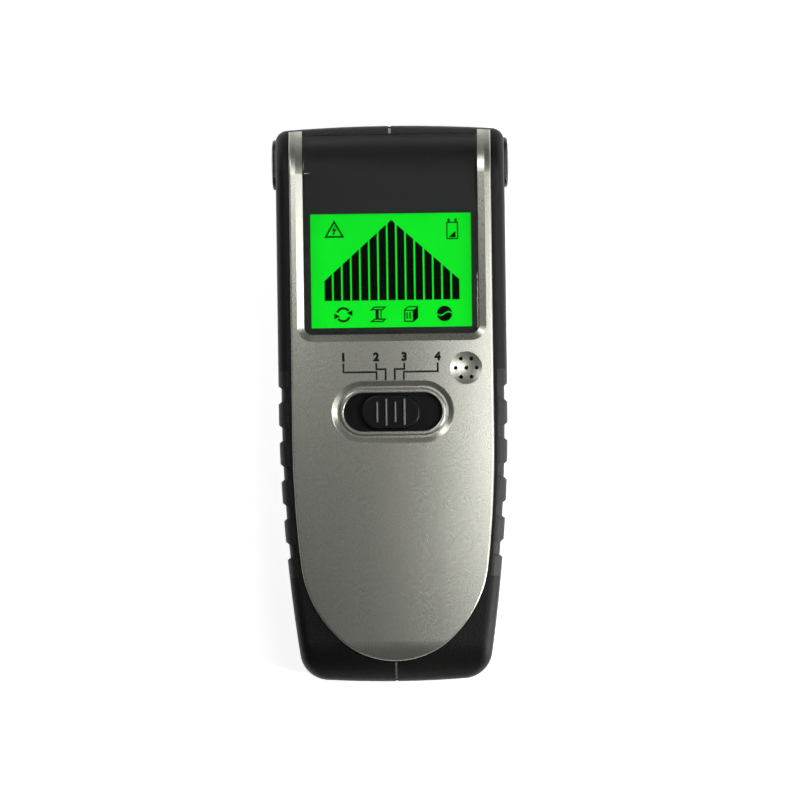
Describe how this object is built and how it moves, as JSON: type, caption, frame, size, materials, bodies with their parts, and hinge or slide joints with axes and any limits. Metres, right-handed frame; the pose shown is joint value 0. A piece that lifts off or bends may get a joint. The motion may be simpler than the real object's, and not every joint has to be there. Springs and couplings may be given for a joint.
{
  "type": "stud finder",
  "caption": "Hand-held wall scanner with a back-lit display, a sliding mode switch, side push buttons, rubber side grips and a battery door in the back.",
  "frame": {"origin": "centre of the flat back that the object lies on", "axes": "+Z out of the display face, +Y towards the sensor end, +X to the right of the display"},
  "size_m": [0.068, 0.159, 0.0284],
  "materials": {
    "black_abs": "fine spark-eroded texture",
    "silver_paint": "satin silver paint on plastic, fine metallic grain",
    "clear_lens": "clear polished",
    "black_print": "smooth printed black",
    "grip_rubber": "dull, grained",
    "button_black": "satin gloss",
    "knob_black": "semi gloss",
    "switch_black": "moulded",
    "label": "blank satin sticker",
    "screw_steel": "zinc plated",
    "lcd_glass": "lit green",
    "light_guide": "clear, frosted",
    "contact_rubber": "dull",
    "white_plastic": "moulded",
    "board_green": "solder mask",
    "chip_black": "moulded",
    "capacitor_can": "sleeved",
    "bright_can": "bright",
    "copper": "copper, lacquered",
    "ferrite": "sintered, dull",
    "tinned": "tin plated",
    "battery_wrap": "printed jacket, plain",
    "snap_vinyl": "soft vinyl",
    "wire_red": "soft",
    "wire_black": "soft"
  },
  "bodies": {
    "case": {"front_shell": "black_abs", "rear_shell": "black_abs", "face_plate": "silver_paint", "display_lens": "clear_lens", "lens_mask": "black_print", "right_grip": "grip_rubber", "left_grip": "grip_rubber", "mode_switch_body": "switch_black", "right_tact_switch": "switch_black", "left_tact_switch": "switch_black", "link_header": "switch_black", "buzzer": "switch_black", "rating_label": "label", "case_screws": "screw_steel", "board_screws": "screw_steel", "sensor_board_screws": "screw_steel", "lcd_glass": "lcd_glass", "backlight_panel": "light_guide", "backlight_lamps": "light_guide", "lcd_contact_strips": "contact_rubber", "buzzer_gasket": "contact_rubber", "battery_pad": "contact_rubber", "lcd_frame": "white_plastic", "coil_bobbin": "white_plastic", "main_board": "board_green", "sensor_board": "board_green", "microcontroller": "chip_black", "driver_chips": "chip_black", "chip_components": "chip_black", "capacitors": "capacitor_can", "crystal": "bright_can", "sensor_plates": "copper", "detector_coil": "copper", "coil_core": "ferrite", "link_pins": "tinned", "battery_terminals": "tinned", "snap_contacts": "tinned", "battery": "battery_wrap", "battery_snap": "snap_vinyl", "red_wire": "wire_red", "black_wire": "wire_black"},
    "mode_slider": {"switch_knob": "knob_black", "mode_switch_slider": "switch_black"},
    "right_push": {"right_button": "button_black", "right_plunger": "switch_black"},
    "left_push": {"left_button": "button_black", "left_plunger": "switch_black"},
    "door": {"battery_door": "black_abs"}
  },
  "joints": [
    {"name": "mode_switch", "type": "slide", "parent": "case", "child": "mode_slider", "axis": [1, 0, 0], "range_m": [-0.0026, 0.0052]},
    {"name": "right_button_press", "type": "slide", "parent": "case", "child": "right_push", "axis": [-1, 0, 0], "range_m": [0, 0.0008], "stiffness_N_per_m": 900},
    {"name": "left_button_press", "type": "slide", "parent": "case", "child": "left_push", "axis": [1, 0, 0], "range_m": [0, 0.0008], "stiffness_N_per_m": 900},
    {"name": "battery_door_slide", "type": "slide", "parent": "case", "child": "door", "axis": [0, -1, 0], "range_m": [0, 0.05]}
  ]
}
